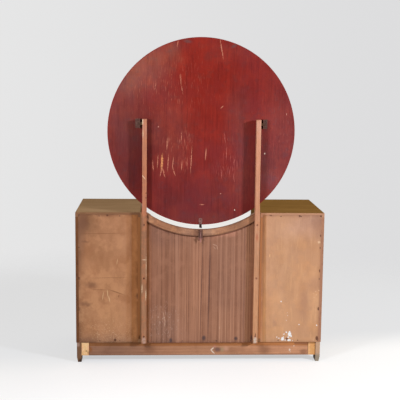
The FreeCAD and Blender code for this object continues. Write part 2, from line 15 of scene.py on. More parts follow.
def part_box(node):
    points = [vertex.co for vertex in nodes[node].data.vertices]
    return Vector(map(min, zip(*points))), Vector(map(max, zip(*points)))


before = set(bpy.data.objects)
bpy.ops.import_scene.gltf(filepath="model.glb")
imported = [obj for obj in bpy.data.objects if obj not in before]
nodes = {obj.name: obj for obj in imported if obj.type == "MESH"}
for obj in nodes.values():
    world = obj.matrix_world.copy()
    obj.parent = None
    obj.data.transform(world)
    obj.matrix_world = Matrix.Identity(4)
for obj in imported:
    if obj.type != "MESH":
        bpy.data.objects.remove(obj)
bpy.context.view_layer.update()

# Places taken from the model
rim_low, rim_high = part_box("mirror_rim")
MIRROR_HEIGHT = (rim_low.z + rim_high.z) / 2
CASE_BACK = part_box("left_top")[1].y
POST_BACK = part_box("left_mirror_post")[1].y

# Millimetres in a metre
MM = 1000.0


# Node trees, in which marks at the back reach in by a skin, and all other marks ignore the depth
BACK_SKIN = 0.006
IGNORE_DEPTH = 1000.0


def linear(rgb, share=1.0):
    """An sRGB colour in 0-255 as linear RGBA, darkened to a share of its strength."""
    values = [c / 255 for c in rgb]
    values = [c / 12.92 if c <= 0.04045 else ((c + 0.055) / 1.055) ** 2.4 for c in values]
    return (*(c * share for c in values), 1.0)


class Graph:
    """The node tree of one material or world, with a short call for each kind of node in it."""

    def __init__(self, tree):
        self.tree = tree
        self.place = self.node("ShaderNodeTexCoord").outputs["Object"]

    def node(self, kind, inputs=None, **settings):
        """A new node with its settings, and its inputs linked or set."""
        made = self.tree.nodes.new(kind)
        for name, value in settings.items():
            setattr(made, name, value)
        for name, value in (inputs or {}).items():
            self.feed(made.inputs[name], value)
        return made

    def feed(self, socket, value):
        """Link a socket to another, or set it to a plain value."""
        if isinstance(value, bpy.types.NodeSocket):
            self.tree.links.new(value, socket)
        else:
            socket.default_value = value

    def math(self, operation, first, second=0.0):
        return self.node("ShaderNodeMath", {0: first, 1: second}, operation=operation).outputs[0]

    def times(self, first, second):
        return self.math("MULTIPLY", first, second)

    def vector(self, operation, first, second=(0, 0, 0)):
        made = self.node("ShaderNodeVectorMath", {0: first, 1: second}, operation=operation)
        return made.outputs["Value" if operation == "LENGTH" else "Vector"]

    def split(self, vector):
        return self.node("ShaderNodeSeparateXYZ", {0: vector}).outputs

    def joined(self, x, y, z):
        return self.node("ShaderNodeCombineXYZ", {0: x, 1: y, 2: z}).outputs[0]

    def between(self, value, low, high):
        """0 at low and 1 at high, with a smooth passage."""
        made = self.node("ShaderNodeMapRange", {"Value": value, "From Min": low, "From Max": high},
                         interpolation_type="SMOOTHSTEP")
        return made.outputs["Result"]

    def noise(self, vector, scale=1.0, detail=2.0, roughness=0.5, output="Fac"):
        made = self.node("ShaderNodeTexNoise", {"Vector": vector, "Scale": scale, "Detail": detail,
                                                "Roughness": roughness})
        return made.outputs[output]

    def around(self, middle, noise, spread):
        """A value that wavers about a middle with the noise, as far as the spread lets it."""
        return self.math("ADD", self.times(noise, spread), middle - spread / 2)

    def mix(self, share, first, second, blend_type="MIX"):
        """Two colours mixed: only the first where the share is 0."""
        made = self.node("ShaderNodeMix", {0: share, 6: first, 7: second}, data_type="RGBA",
                         blend_type=blend_type)
        return made.outputs[2]

    def lay(self, colour, mask, share, under):
        """A share of a colour laid over another where the mask is."""
        return self.mix(self.times(mask, share), under, colour)

    def ragged(self, size, amount):
        """The place on the surface, shaken so that marks get uneven outlines."""
        shake = self.noise(self.place, 1 / size, detail=3.0, roughness=0.6, output="Color")
        shake = self.vector("SUBTRACT", shake, (0.5, 0.5, 0.5))
        return self.vector("ADD", self.place, self.vector("MULTIPLY", shake, (amount, amount, amount)))

    def marks(self, place, rows, soft):
        """1 on the marks of these rows and 0 beside them."""
        found = 0.0
        for x, z, wide, high, *lean in rows:
            turn = math.radians(lean[0]) if lean else 0.0
            local = self.node("ShaderNodeMapping", {
                "Vector": place, "Location": (x / MM, 0, z / MM), "Rotation": (0, turn, 0),
                "Scale": (wide / MM, IGNORE_DEPTH, high / MM)}, vector_type="TEXTURE").outputs[0]
            mask = self.between(self.vector("LENGTH", local), 1 + soft, 1 - soft)
            found = self.math("MAXIMUM", found, mask)
        return found

    def at_back(self, back):
        """1 on faces at a given depth at the back, and 0 from a skin in front of them."""
        return self.between(self.split(self.place)[1], back - BACK_SKIN, back - BACK_SKIN / 3)

    def edge_distance(self, low, high):
        """Distance from the nearest edge of a box, for a point on one of its faces."""
        inside = self.vector("SUBTRACT", self.place, tuple((low + high) / 2))
        inside = self.vector("SUBTRACT", tuple((high - low) / 2), self.vector("ABSOLUTE", inside))
        x, y, z = self.split(inside)
        lesser = self.math("MINIMUM", x, y)
        greater = self.math("MAXIMUM", x, y)
        return self.math("MAXIMUM", lesser, self.math("MINIMUM", greater, z))


def new_material(name):
    """A material, its graph and its shader."""
    material = bpy.data.materials.new(name)
    material.use_nodes = True
    graph = Graph(material.node_tree)
    return material, graph, material.node_tree.nodes["Principled BSDF"]


# Places that follow the grain or the arc
GRAIN_STEP = (7.3, 3.1, 5.7)
ARC_RADIUS = 0.485


def along_grain(graph, along, width, length, shift, place=None):
    """Places drawn out along one axis, so that noise in them makes streaks of that width and length."""
    scale = [1 / width] * 3
    scale["xyz".index(along)] = 1 / length
    start = [shift * step for step in GRAIN_STEP]
    inputs = {"Vector": place or graph.place, "Scale": scale, "Location": start}
    return graph.node("ShaderNodeMapping", inputs).outputs[0]


def round_the_arc(graph):
    """Places along the arc and across it, for wood that is bent round the mirror's centre."""
    x, y, z = graph.split(graph.place)
    down = graph.math("SUBTRACT", MIRROR_HEIGHT, z)
    turn = graph.math("ARCTAN2", x, down)
    reach = graph.vector("LENGTH", graph.joined(x, down, 0.0))
    return graph.joined(graph.times(turn, ARC_RADIUS), y, reach)


# Layers, each a function that paints over the colour under it
GAP_PASSAGE = (0.32, 0.46)
TINT_SHAKE = 0.06
TINT_SOFTNESS = 0.9
PLACE_SOFTNESS = 0.8
PLANE_SHAKE_SIZE = 0.01


def spots(colour, rows, share=1.0, soft=0.35, shake=0.004, shake_size=0.006, gaps=0.0, behind=None):
    """Marks at given places.

    A mark fades over the soft part of its size, and its outline is shaken by a length in waves of a size.
    Gaps of a size break it up, and it stays on the faces at one depth, where these are given.
    """
    def paint(graph, under):
        mask = graph.marks(graph.ragged(shake_size, shake), rows, soft)
        if gaps:
            mask = graph.times(mask, graph.between(graph.noise(graph.place, 1 / gaps), *GAP_PASSAGE))
        if behind:
            mask = graph.times(mask, graph.at_back(behind))
        return graph.lay(linear(colour), mask, share, under)
    return paint


def tints(rows, share=0.9):
    """Broad soft patches that change the colour under them by a factor for red, green and blue.

    The factors come first in each row, before the numbers of its mark.
    """
    def paint(graph, under):
        place = graph.ragged(TINT_SHAKE, TINT_SHAKE)
        for factors, *mark in rows:
            mask = graph.times(graph.marks(place, [mark], TINT_SOFTNESS), share)
            under = graph.mix(mask, under, (*factors, 1.0), "MULTIPLY")
        return under
    return paint


def flecks(colour, share, width, length, passage=(0.6, 0.7), within=None, shift=3.0):
    """Small scattered upright marks, all over or within some soft places."""
    def paint(graph, under):
        mask = graph.between(graph.noise(along_grain(graph, "z", width, length, shift)), *passage)
        if within:
            mask = graph.times(mask, graph.marks(graph.place, within, PLACE_SOFTNESS))
        return graph.lay(linear(colour), mask, share, under)
    return paint


def clouds(colour, share, size, passage=(0.48, 0.62), shift=5.0):
    """Uneven patches of about one size."""
    def paint(graph, under):
        place = graph.vector("ADD", graph.place, (shift, 0.0, shift))
        mask = graph.between(graph.noise(place, 1 / size, detail=6.0, roughness=0.62), *passage)
        return graph.lay(linear(colour), mask, share, under)
    return paint


def within_planes(graph, limits, soft, lean=0.0):
    """1 between pairs of planes across the named axes, in millimetres, and 0 outside them.

    Planes across X move by the lean, in millimetres for each millimetre of height.
    """
    places = graph.split(graph.vector("MULTIPLY", graph.ragged(PLANE_SHAKE_SIZE, soft / MM), (MM, MM, MM)))
    mask = 1.0
    for axis, (low, high) in limits.items():
        level = places["XYZ".index(axis)]
        if lean and axis == "X":
            level = graph.math("SUBTRACT", level, graph.times(places[2], lean))
        mask = graph.times(mask, graph.between(level, low - soft, low + soft))
        mask = graph.times(mask, graph.between(level, high + soft, high - soft))
    return mask


def band(colour, limits, share=0.9, soft=1.0):
    """One colour between planes."""
    def paint(graph, under):
        return graph.lay(linear(colour), within_planes(graph, limits, soft), share, under)
    return paint


def fade(factors, limits, soft=1.0, lean=0.0):
    """A change of the colours between planes, by a factor for red, green and blue."""
    def paint(graph, under):
        return graph.mix(within_planes(graph, limits, soft, lean), under, (*factors, 1.0), "MULTIPLY")
    return paint


def ring(colour, reach, width, share):
    """A line along a circle round the mirror's axis, in millimetres."""
    def paint(graph, under):
        away = graph.math("SUBTRACT", graph.split(round_the_arc(graph))[2], reach / MM)
        mask = graph.between(graph.math("ABSOLUTE", away), width / MM, width / MM / 2)
        return graph.lay(linear(colour), mask, share, under)
    return paint


# Wood
PORE_WIDTH = 0.0022
PORE_LENGTH = 0.07
PORE_PASSAGE = (0.56, 0.75)
PORE_SHADE = 0.45
PORE_DEPTH = 0.6
PATCH_WIDTH = 0.11
PATCH_LENGTH = 0.2
GRIT_SCALE = 420.0
GRIT_SPREAD = 0.6
TONE_SPREAD = 2.4
TONE_LIMIT = 0.75
DIRT_STARTS = 1.45
DIRT_FULL = 0.35
GRAIN_HEIGHT = 0.0012
GRAIN_STRENGTH = 0.25
WOOD_ROUGH_SPREAD = 0.25
COAT_ROUGHNESS = 0.4


def wood(node, pale, dark, along="z", shift=0.0, streak=0.012, run=0.35, contrast=0.6, pores=0.35,
         patches=0.5, edge=(90, 58, 42), edge_width=0.008, edge_share=0.5, rough=0.6, shine=0.15, coat=0.0,
         layers=(), place_of=None):
    """Wood with streaks, pores and patches along one axis, dirt along its edges, and layers of marks.

    A streak has a width and a run. The shift picks another part of the grain, so that boards differ.
    Varnish, where there is some, stops short of the bare edges at the back of the case.
    """
    material, graph, shader = new_material(f"{node}_wood")
    place = place_of(graph) if place_of else graph.place
    streak_place = along_grain(graph, along, streak, run, shift, place)
    pore_place = along_grain(graph, along, PORE_WIDTH, PORE_LENGTH, shift, place)
    patch_place = along_grain(graph, along, PATCH_WIDTH, PATCH_LENGTH, shift + 1, place)
    streaks = graph.noise(streak_place, detail=5.0, roughness=0.62)
    patch = graph.noise(patch_place, detail=5.0, roughness=0.65)
    grit = graph.noise(graph.place, GRIT_SCALE, roughness=0.6)
    tone = graph.around(0.0, streaks, TONE_SPREAD * contrast)
    tone = graph.math("ADD", tone, graph.around(0.0, patch, TONE_SPREAD * patches))
    tone = graph.math("ADD", tone, graph.around(0.0, grit, GRIT_SPREAD))
    colour = graph.mix(graph.between(tone, TONE_LIMIT, -TONE_LIMIT), linear(pale), linear(dark))
    pore = graph.between(graph.noise(pore_place), *PORE_PASSAGE)
    colour = graph.lay(linear(dark, PORE_SHADE), pore, pores, colour)
    if edge_share:
        worn = graph.math("ADD", graph.edge_distance(*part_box(node)), graph.times(patch, edge_width))
        worn = graph.between(worn, DIRT_STARTS * edge_width, DIRT_FULL * edge_width)
        colour = graph.lay(linear(edge), worn, edge_share, colour)
    for paint in layers:
        colour = paint(graph, colour)
    height = graph.math("SUBTRACT", streaks, graph.times(pore, PORE_DEPTH))
    bump = graph.node("ShaderNodeBump", {"Height": height, "Strength": GRAIN_STRENGTH,
                                         "Distance": GRAIN_HEIGHT})
    graph.feed(shader.inputs["Base Color"], colour)
    graph.feed(shader.inputs["Roughness"], graph.around(rough, patch, WOOD_ROUGH_SPREAD))
    graph.feed(shader.inputs["Normal"], bump.outputs[0])
    shader.inputs["Specular IOR Level"].default_value = shine
    if coat:
        varnished = graph.math("SUBTRACT", 1.0, graph.at_back(CASE_BACK))
        graph.feed(shader.inputs["Coat Weight"], graph.times(varnished, coat))
        shader.inputs["Coat Roughness"].default_value = COAT_ROUGHNESS
    return material


# Metal
WORN_SCALE = 90.0
WORN_PASSAGE = (0.42, 0.68)
PIT_SCALE = 810.0
PIT_DEPTH = 0.0004
PIT_STRENGTH = 0.2
METAL_ROUGH_SPREAD = -0.3


def metal(name, colour, worn, metallic=0.4, rough=0.5, shine=0.5, layers=()):
    """Aged metal: a dark skin with brighter and smoother worn patches, and fine pits."""
    material, graph, shader = new_material(name)
    patch = graph.noise(graph.place, WORN_SCALE, detail=4.0, roughness=0.65)
    skin = graph.mix(graph.between(patch, *WORN_PASSAGE), linear(colour), linear(worn))
    for paint in layers:
        skin = paint(graph, skin)
    pits = graph.noise(graph.place, PIT_SCALE)
    bump = graph.node("ShaderNodeBump", {"Height": pits, "Strength": PIT_STRENGTH, "Distance": PIT_DEPTH})
    graph.feed(shader.inputs["Base Color"], skin)
    graph.feed(shader.inputs["Roughness"], graph.around(rough, patch, METAL_ROUGH_SPREAD))
    graph.feed(shader.inputs["Normal"], bump.outputs[0])
    shader.inputs["Metallic"].default_value = metallic
    shader.inputs["Specular IOR Level"].default_value = shine
    return material


# Glass
SILVER = (0.85, 0.87, 0.86, 1.0)
TARNISH = (0.2, 0.17, 0.14, 1.0)
SPECK_REACH = (0.36, 0.445)
SPECK_SCALE = 60.0
SPECK_PASSAGE = (0.62, 0.72)
HAZE_SCALE = 9.0
HAZE_ROUGHNESS = 0.06


def silvered_glass():
    """Silvered glass, with dark specks where the silver has gone near the edge."""
    material, graph, shader = new_material("silvered_glass")
    from_axis = graph.split(round_the_arc(graph))[2]
    near_edge = graph.between(from_axis, *SPECK_REACH)
    specks = graph.between(graph.noise(graph.place, SPECK_SCALE, detail=5.0, roughness=0.7), *SPECK_PASSAGE)
    haze = graph.noise(graph.place, HAZE_SCALE, detail=4.0, roughness=0.6)
    graph.feed(shader.inputs["Base Color"], graph.mix(graph.times(specks, near_edge), SILVER, TARNISH))
    graph.feed(shader.inputs["Roughness"], graph.times(haze, HAZE_ROUGHNESS))
    shader.inputs["Metallic"].default_value = 1.0
    return material


# Camera, at the photograph's viewing angle
CAMERA_PLACE = (0.209, 4.593, 1.428)
CAMERA_YAW = -0.047
CAMERA_PITCH = 0.1423
CAMERA_ROLL = 0.0109
CAMERA_LENS = 82.8
CAMERA_SENSOR = 36.0


def make_camera():
    data = bpy.data.cameras.new("camera")
    data.lens = CAMERA_LENS
    data.sensor_width = CAMERA_SENSOR
    camera = bpy.data.objects.new("camera", data)
    bpy.context.scene.collection.objects.link(camera)
    level = math.cos(CAMERA_PITCH)
    ahead = Vector((math.sin(CAMERA_YAW) * level, -math.cos(CAMERA_YAW) * level, -math.sin(CAMERA_PITCH)))
    camera.location = CAMERA_PLACE
    camera.rotation_mode = "QUATERNION"
    camera.rotation_quaternion = ahead.to_track_quat("-Z", "Y") @ Quaternion((0, 0, 1), CAMERA_ROLL)
    bpy.context.scene.camera = camera


# Wall and soft light
WALL_LEFT = (231, 231, 231)
WALL_RIGHT = (221, 221, 222)
WALL_PASSAGE = (-0.3, 0.3)
AMBIENT_COLOUR = (1.1, 1.0, 0.84, 1.0)
AMBIENT_BEHIND = 0.0
AMBIENT_FRONT = 0.9


def seen_directly(graph):
    """1 for rays that show a picture of the backdrop, 0 for those that light the object."""
    path = graph.node("ShaderNodeLightPath").outputs
    seen = graph.math("MAXIMUM", path["Is Camera Ray"], path["Is Glossy Ray"])
    return graph.math("MAXIMUM", seen, path["Is Transmission Ray"])


def make_world():
    """Soft light that is stronger from the front, and a pale grey wall for the rays that show it."""
    world = bpy.data.worlds.new("studio")
    bpy.context.scene.world = world
    world.use_nodes = True
    world.node_tree.nodes.clear()
    graph = Graph(world.node_tree)
    x, y, _ = graph.split(graph.node("ShaderNodeTexCoord").outputs["Generated"])
    level = graph.node("ShaderNodeMapRange", {
        "Value": y, "From Min": -1.0, "From Max": 1.0, "To Min": AMBIENT_FRONT,
        "To Max": AMBIENT_BEHIND}).outputs["Result"]
    light = graph.node("ShaderNodeBackground", {"Color": AMBIENT_COLOUR, "Strength": level})
    grey = graph.mix(graph.between(x, *WALL_PASSAGE), linear(WALL_RIGHT), linear(WALL_LEFT))
    wall = graph.node("ShaderNodeBackground", {"Color": grey, "Strength": 1.0})
    both = graph.node("ShaderNodeMixShader", {
        0: seen_directly(graph), 1: light.outputs[0], 2: wall.outputs[0]})
    graph.node("ShaderNodeOutputWorld", {"Surface": both.outputs[0]})


# Floor
FLOOR_SIZE = 24.0
FLOOR_GREY = (225, 226, 228)
FLOOR_WHITE = (254, 254, 254)
FLOOR_PALE = (232, 232, 234)
WHITE_SLANT = -0.19
WHITE_PASSAGE = (-0.15, 0.3)
PALE_PASSAGE = (0.1, 0.9)
POOL_CENTRE = (-0.28, -4.0)
POOL_REACH = (1.1, 1.5)
POOL_PASSAGE = (1.0, 0.4)
FAR_PASSAGE = (1.6, 3.0)
GLOW_BEYOND = 0.8
GLOW_NEAR = 0.55
SHADE_BEYOND = 0.28
SHADE_NEAR = 0.5
FLOOR_BOUNCE = 0.36


def floor_material():
    """A pale floor that is lost in the wall far off.

    It is white behind the object and in a pool before it, and grey elsewhere.
    """
    material = bpy.data.materials.new("studio_floor")
    material.use_nodes = True
    material.node_tree.nodes.clear()
    graph = Graph(material.node_tree)
    x, y, _ = graph.split(graph.place)
    behind = graph.between(graph.math("ADD", y, graph.times(x, WHITE_SLANT)), *WHITE_PASSAGE)
    across = graph.times(graph.math("SUBTRACT", x, POOL_CENTRE[0]), 1 / POOL_REACH[0])
    along = graph.times(graph.math("SUBTRACT", y, POOL_CENTRE[1]), 1 / POOL_REACH[1])
    pool = graph.between(graph.vector("LENGTH", graph.joined(across, along, 0.0)), *POOL_PASSAGE)
    near = graph.math("MAXIMUM", behind, pool)
    white = graph.mix(graph.between(x, *PALE_PASSAGE), linear(FLOOR_WHITE, GLOW_NEAR),
                      linear(FLOOR_PALE, GLOW_NEAR))
    glow_colour = graph.mix(near, linear(FLOOR_GREY, GLOW_BEYOND), white)
    shade_colour = graph.mix(near, linear(FLOOR_GREY, SHADE_BEYOND), linear(FLOOR_WHITE, SHADE_NEAR))
    glow = graph.node("ShaderNodeEmission", {"Color": glow_colour, "Strength": 1.0})
    shade = graph.node("ShaderNodeBsdfDiffuse", {"Color": shade_colour})
    shown = graph.node("ShaderNodeAddShader", {0: glow.outputs[0], 1: shade.outputs[0]})
    plain = graph.node("ShaderNodeBsdfDiffuse", {"Color": (FLOOR_BOUNCE,) * 3 + (1,)})
    lit = graph.node("ShaderNodeMixShader", {
        0: seen_directly(graph), 1: plain.outputs[0], 2: shown.outputs[0]})
    far = graph.between(graph.vector("LENGTH", graph.joined(x, y, 0.0)), *FAR_PASSAGE)
    far = graph.times(far, graph.math("SUBTRACT", 1.0, pool))
    none = graph.node("ShaderNodeBsdfTransparent")
    both = graph.node("ShaderNodeMixShader", {0: far, 1: lit.outputs[0], 2: none.outputs[0]})
    graph.node("ShaderNodeOutputMaterial", {"Surface": both.outputs[0]})
    return material


def make_floor():
    half = FLOOR_SIZE / 2
    corners = [(-half, -half, 0), (half, -half, 0), (half, half, 0), (-half, half, 0)]
    mesh = bpy.data.meshes.new("floor")
    mesh.from_pydata(corners, [], [(0, 1, 2, 3)])
    mesh.materials.append(floor_material())
    floor = bpy.data.objects.new("floor", mesh)
    bpy.context.scene.collection.objects.link(floor)


# Lamps
AIM = (0.0, 0.2, 0.75)
LAMPS = {
    "near_lamp": {"place": (1.11, 1.81, 1.4), "size": 0.35, "watts": 20},
    "far_lamp": {"place": (-4.2, 3.25, 2.3), "size": 0.6, "watts": 225},
}
LAMP_COLOUR = (0.96, 1.0, 1.07)


def make_lamps():
    """Lamps that light the object but leave no glare on its varnish."""
    for name, lamp in LAMPS.items():
        data = bpy.data.lights.new(name, "AREA")
        data.size = lamp["size"]
        data.energy = lamp["watts"]
        data.color = LAMP_COLOUR
        made = bpy.data.objects.new(name, data)
        made.location = lamp["place"]
        made.visible_glossy = False
        made.rotation_mode = "QUATERNION"
        made.rotation_quaternion = (Vector(AIM) - made.location).to_track_quat("-Z", "Y")
        bpy.context.scene.collection.objects.link(made)


# Worn edges
SOFT_EDGE = 0.0012
SOFT_SEGMENTS = 2
SHARP_ANGLE = math.radians(40)
WELD_DISTANCE = 0.00002
SOFT_NODES = [node for node in nodes if node.endswith(("_mirror_post", "_drawer_front", "_foot_board"))]
SOFT_NODES += ["left_top", "right_top", "centre_shelf"]


def soften(node):
    """Round a CAD node's sharp edges a little, as a sanded or worn edge is."""
    weld = nodes[node].modifiers.new("weld", "WELD")
    weld.merge_threshold = WELD_DISTANCE
    bevel = nodes[node].modifiers.new("bevel", "BEVEL")
    bevel.width = SOFT_EDGE
    bevel.segments = SOFT_SEGMENTS
    bevel.limit_method = "ANGLE"
    bevel.angle_limit = SHARP_ANGLE
    bevel.harden_normals = True


# Painted board behind the glass
# Tints of the paint's tone; some are painted shade and painted light that darken, lighten or recolour the
# posts' cast shadows and the board beside them
BOARD_TINTS_AND_PAINTED_SHADE = [
    ((1.15, 2.7, 2.2), 265, 1450, 130, 90, 40), ((0.9, 0.87, 0.88), -270, 1340, 130, 140),
    ((0.92, 1.65, 1.55), 385, 1230, 80, 190), ((0.62, 0.8, 0.82), 340, 1030, 110, 200),
    ((0.84, 1.3, 1.25), 185, 1150, 110, 170), ((0.98, 1.15, 1.25), -400, 1030, 90, 170),
    ((1.0, 1.3, 1.3), -140, 830, 110, 90), ((0.9, 1.4, 1.35), -30, 705, 150, 30),
    ((0.88, 1.1, 1.12), 160, 775, 90, 60), ((0.88, 1.3, 1.3), -320, 900, 50, 110),
    ((0.76, 1.08, 1.2), 360, 915, 60, 70), ((1.18, 1.22, 1.12), -385, 1230, 50, 60),
    ((1.08, 1.4, 1.35), -140, 1515, 90, 40), ((1.15, 1.4, 1.4), 218, 1120, 30, 50),
    ((1.2, 1.24, 1.28), -355, 890, 40, 50), ((1.15, 1.22, 1.2), -320, 1190, 40, 50),
    ((1.1, 1.32, 1.36), 112, 1205, 36, 50),
]
# Fainter tints, also partly painted shade and painted light in and beside the posts' cast shadows
BOARD_FAINT_TINTS_AND_PAINTED_SHADE = [
    ((1.06, 0.78, 0.52), -5, 1340, 170, 280), ((1.0, 0.86, 0.78), -40, 1380, 130, 160),
    ((0.9, 1.6, 1.6), 126, 1504, 30, 40), ((0.97, 1.8, 1.9), -170, 1200, 50, 130),
    ((0.86, 0.9, 0.95), -88, 1110, 80, 120), ((0.95, 1.7, 1.8), -385, 1090, 100, 240),
    ((0.85, 1.2, 1.25), -195, 1020, 28, 190), ((1.1, 1.6, 1.6), -230, 960, 60, 120),
    ((0.78, 0.88, 0.95), 125, 880, 110, 120), ((0.68, 0.85, 0.95), 0, 755, 300, 150),
    ((0.88, 0.84, 0.8), 250, 1000, 30, 180), ((0.84, 1.08, 1.03), -303, 1030, 16, 130),
    ((1.0, 1.25, 1.22), 115, 1045, 60, 90),
]
BOARD_SCRATCHES = [
    (-91, 1518, 2.2, 44, 10), (116, 1542, 1.9, 15, -8), (100, 1373, 1.6, 24, 3), (93, 1325, 1.6, 18, 10),
    (220, 1340, 1.6, 14, -13), (-96, 1246, 1.9, 9, -45), (163, 1071, 1.9, 24, -3), (95, 1104, 1.6, 18, 3),
    (47, 997, 1.9, 55, -3), (-22, 1022, 2.5, 25, -4), (207, 988, 1.6, 31, -3), (179, 934, 2.2, 24, 16),
    (192, 934, 1.9, 20, -10), (158, 979, 1.9, 34, -3), (135, 979, 1.9, 28, -6), (129, 937, 1.9, 21, 17),
    (93, 961, 1.6, 15), (230, 966, 1.9, 22, 5), (-6, 779, 1.9, 10, -90),
]
FAINT_SCRATCHES = [
    (-112, 1099, 1.6, 25, 8), (-120, 1024, 1.6, 28, 1), (-99, 928, 2.2, 19, -1), (-158, 987, 1.6, 16, -13),
    (-158, 910, 1.6, 19, 10),
]
WIDE_SCRATCH = [(187, 983, 4.5, 34, -3)]
SCRATCHED = [(153, 1076, 24, 42), (77, 1086, 32, 46), (81, 976, 26, 40)]
SCUFFED = [(-122, 1079, 26, 32), (-134, 967, 60, 68)]
RUBBED_TOP = [(170, 1360, 190, 130)]
RUBBED_SIDE = [(-380, 1110, 60, 90)]
GREY_RUBS = [(-150, 1533, 14, 6, 25), (69, 1552, 16, 7, -8)]
BOARD_DOTS = [(-304, 1026, 3, 3.4), (-164, 753, 2.5, 3.2)]
FAINT_DOTS = [(-95, 832, 2.6, 2.6), (205, 1151, 2.6, 2.6), (-405, 1215, 1.4, 5, 10)]
# Painted shade: black marks on the board in the gaps between the tilt brackets and the posts
SHADE_BESIDE_BRACKETS = [(287, 1167, 5, 22), (-289, 1167, 5, 22)]
BOARD = {
    "pale": (152, 51, 45), "dark": (117, 38, 37), "streak": 0.007, "run": 0.3, "contrast": 0.45,
    "patches": 0.8, "pores": 0.15, "edge_share": 0.0, "shine": 0.1,
    "layers": [
        clouds((132, 48, 49), share=0.6, size=0.14),
        clouds((162, 55, 44), share=0.28, size=0.08, shift=2.0),
        clouds((120, 52, 52), share=0.5, size=0.035, passage=(0.53, 0.68), shift=4.0),
        flecks((88, 28, 30), share=0.28, width=0.005, length=0.12, passage=(0.56, 0.7)),
        flecks((176, 80, 66), share=0.25, width=0.003, length=0.06),
        # Tints of tone, with painted shade and painted light near the posts
        tints(BOARD_TINTS_AND_PAINTED_SHADE),
        tints(BOARD_FAINT_TINTS_AND_PAINTED_SHADE, share=0.7),
        flecks((200, 116, 94), share=0.35, width=0.003, length=0.03, passage=(0.62, 0.7),
               within=RUBBED_TOP, shift=8.0),
        flecks((204, 124, 102), share=0.6, width=0.0025, length=0.03, passage=(0.58, 0.68),
               within=SCRATCHED),
        flecks((196, 106, 96), share=0.4, width=0.0025, length=0.03, passage=(0.58, 0.68), within=SCUFFED),
        flecks((190, 110, 96), share=0.4, width=0.0025, length=0.03, within=RUBBED_SIDE, shift=6.0),
        spots((214, 138, 110), BOARD_SCRATCHES, share=0.8, soft=0.5, shake=0.007, gaps=0.007),
        spots((204, 116, 104), FAINT_SCRATCHES, share=0.55, soft=0.5, shake=0.007, gaps=0.007),
        spots((228, 152, 98), WIDE_SCRATCH, share=0.9, soft=0.5, shake=0.014, gaps=0.005),
        spots((106, 78, 76), GREY_RUBS, share=0.6, soft=0.7, shake=0.01),
        spots((244, 220, 200), BOARD_DOTS),
        spots((220, 160, 140), FAINT_DOTS, share=0.7),
        # Painted shade in the gaps beside the tilt brackets
        spots((30, 12, 8), SHADE_BESIDE_BRACKETS, share=0.9, soft=0.3, shake=0.001),
    ],
}


# Plywood backs of the pedestals
PLY = {"streak": 0.03, "run": 0.15, "contrast": 0.25, "patches": 0.9, "pores": 0.08, "edge_width": 0.018,
       "edge_share": 0.55, "rough": 0.75, "shine": 0.08}

RIGHT_BACK_TINTS = [
    ((0.76, 0.79, 0.9), 440, 102, 170, 32), ((0.55, 0.53, 0.52), 548, 700, 40, 60),
    ((0.93, 0.93, 0.97), 450, 640, 150, 110), ((1.06, 1.12, 1.18), 312, 165, 30, 90),
    ((0.8, 0.79, 0.8), 565, 690, 55, 60), ((0.85, 0.83, 0.84), 334, 560, 14, 240),
    ((1.18, 1.2, 1.2), 303, 215, 12, 110), ((1.16, 1.25, 1.3), 555, 250, 40, 50),
    ((1.12, 1.15, 1.14), 425, 230, 50, 50), ((0.88, 0.83, 0.8), 550, 555, 30, 50),
]
RIGHT_BACK_FAINT_TINTS = [((0.86, 0.88, 0.92), 584, 420, 26, 330)]
RIGHT_ROUGH = [(470, 150, 110, 70)]
RIGHT_SPLINTERED = [(440, 150, 130, 60)]
RIGHT_EDGE_STAINS = [(585, 715, 34, 46), (580, 620, 20, 110), (560, 108, 40, 14)]
RIGHT_STAINS = [
    (560, 684, 22, 40), (525, 384, 25, 14), (553, 292, 24, 9), (554, 599, 16, 7), (304, 330, 9, 9),
]
RIGHT_DARK_SCRATCHES = [
    (403, 349, 2.7, 32, 70), (393, 331, 2.7, 7, -11), (475, 638, 1.3, 99, -89), (441, 421, 1.1, 84, -89),
    (483, 362, 1.3, 37, 88),
]
RIGHT_PALE_SCRATCHES = [
    (447, 344, 2.1, 17, 7), (439, 316, 2.1, 14, 13), (469, 331, 1.6, 20, -7), (400, 500, 1.3, 14, -9),
]
RIGHT_LOW_SCRATCHES = [
    (497, 142, 1.6, 8, 60), (488, 138, 1.4, 6, -50), (420, 149, 1.4, 8, -75), (408, 138, 1.4, 9, 60),
]
RIGHT_NAIL_STAINS = [
    (447, 728, 5, 6), (582, 730, 4, 4), (585, 422, 4, 4), (587, 270, 4, 5), (411, 111, 6, 7),
]
RIGHT_BACK = {
    **PLY, "pale": (194, 139, 101), "dark": (160, 110, 76), "edge": (112, 74, 54), "shift": 2,
    "layers": [
        clouds((162, 108, 74), share=0.6, size=0.14),
        clouds((204, 148, 106), share=0.4, size=0.07, shift=9.0),
        tints(RIGHT_BACK_TINTS),
        tints(RIGHT_BACK_FAINT_TINTS, share=0.7),
        # Painted shade: the post's cast shadow beside it recoloured yellower, and a darker painted border
        # beyond its edge
        fade((1.08, 0.93, 0.7), {"X": (290, 331)}, soft=2.0),
        fade((0.92, 0.87, 0.8), {"X": (331, 356)}, soft=6.0),
        flecks((214, 176, 140), share=0.5, width=0.006, length=0.006, within=RIGHT_ROUGH, shift=6.0),
        spots((118, 82, 64), RIGHT_EDGE_STAINS, share=0.5, soft=0.9, shake=0.03, shake_size=0.03),
        flecks((216, 172, 128), share=0.6, width=0.004, length=0.005, within=RIGHT_SPLINTERED),
        spots((118, 80, 62), RIGHT_STAINS, share=0.6, soft=0.8, shake=0.035, shake_size=0.03),
        spots((120, 78, 52), RIGHT_DARK_SCRATCHES, share=0.6, soft=0.6),
        spots((226, 188, 144), RIGHT_PALE_SCRATCHES, share=0.6),
        spots((214, 176, 140), RIGHT_LOW_SCRATCHES, share=0.6, soft=0.6),
        spots((90, 54, 42), RIGHT_NAIL_STAINS, share=0.85),
    ],
}

